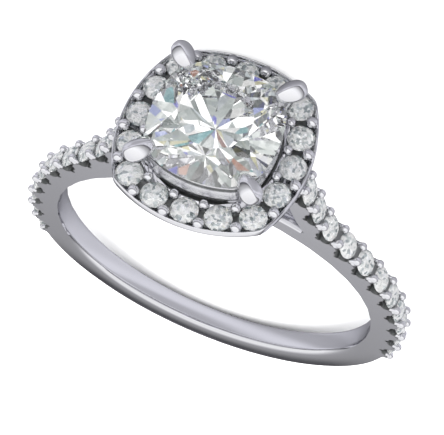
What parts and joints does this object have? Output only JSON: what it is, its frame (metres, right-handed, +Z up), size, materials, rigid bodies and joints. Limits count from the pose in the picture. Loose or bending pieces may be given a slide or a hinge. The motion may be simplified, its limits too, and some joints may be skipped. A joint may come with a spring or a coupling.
{
  "type": "halo ring",
  "caption": "Halo ring: a cushion-cut stone in four claws, a cushion-shaped halo of round stones, and a slim hoop whose rising shoulders carry round stones.",
  "frame": {"origin": "centre of the bounding box's underside, on the surface the ring lies on", "axes": "+Z up from the surface; +Y from the head towards the hoop's base; X across the hoop, along the halo's front side"},
  "size_m": [0.0208, 0.0261, 0.0085],
  "materials": {
    "metal": "polished white metal",
    "centre_stone": "clear cut stone",
    "small_stones": "clear cut stones"
  },
  "bodies": {
    "root": {"mount": "metal", "centre_stone": "centre_stone", "halo_stone_01": "small_stones", "halo_stone_02": "small_stones", "halo_stone_03": "small_stones", "halo_stone_04": "small_stones", "halo_stone_05": "small_stones", "halo_stone_06": "small_stones", "halo_stone_07": "small_stones", "halo_stone_08": "small_stones", "halo_stone_09": "small_stones", "halo_stone_10": "small_stones", "halo_stone_11": "small_stones", "halo_stone_12": "small_stones", "halo_stone_13": "small_stones", "halo_stone_14": "small_stones", "halo_stone_15": "small_stones", "halo_stone_16": "small_stones", "shoulder_stone_r01": "small_stones", "shoulder_stone_r02": "small_stones", "shoulder_stone_r03": "small_stones", "shoulder_stone_r04": "small_stones", "shoulder_stone_r05": "small_stones", "shoulder_stone_r06": "small_stones", "shoulder_stone_r07": "small_stones", "shoulder_stone_r08": "small_stones", "shoulder_stone_r09": "small_stones", "shoulder_stone_r10": "small_stones", "shoulder_stone_r11": "small_stones", "shoulder_stone_l01": "small_stones", "shoulder_stone_l02": "small_stones", "shoulder_stone_l03": "small_stones", "shoulder_stone_l04": "small_stones", "shoulder_stone_l05": "small_stones", "shoulder_stone_l06": "small_stones", "shoulder_stone_l07": "small_stones", "shoulder_stone_l08": "small_stones", "shoulder_stone_l09": "small_stones", "shoulder_stone_l10": "small_stones", "shoulder_stone_l11": "small_stones"}
  },
  "joints": []
}
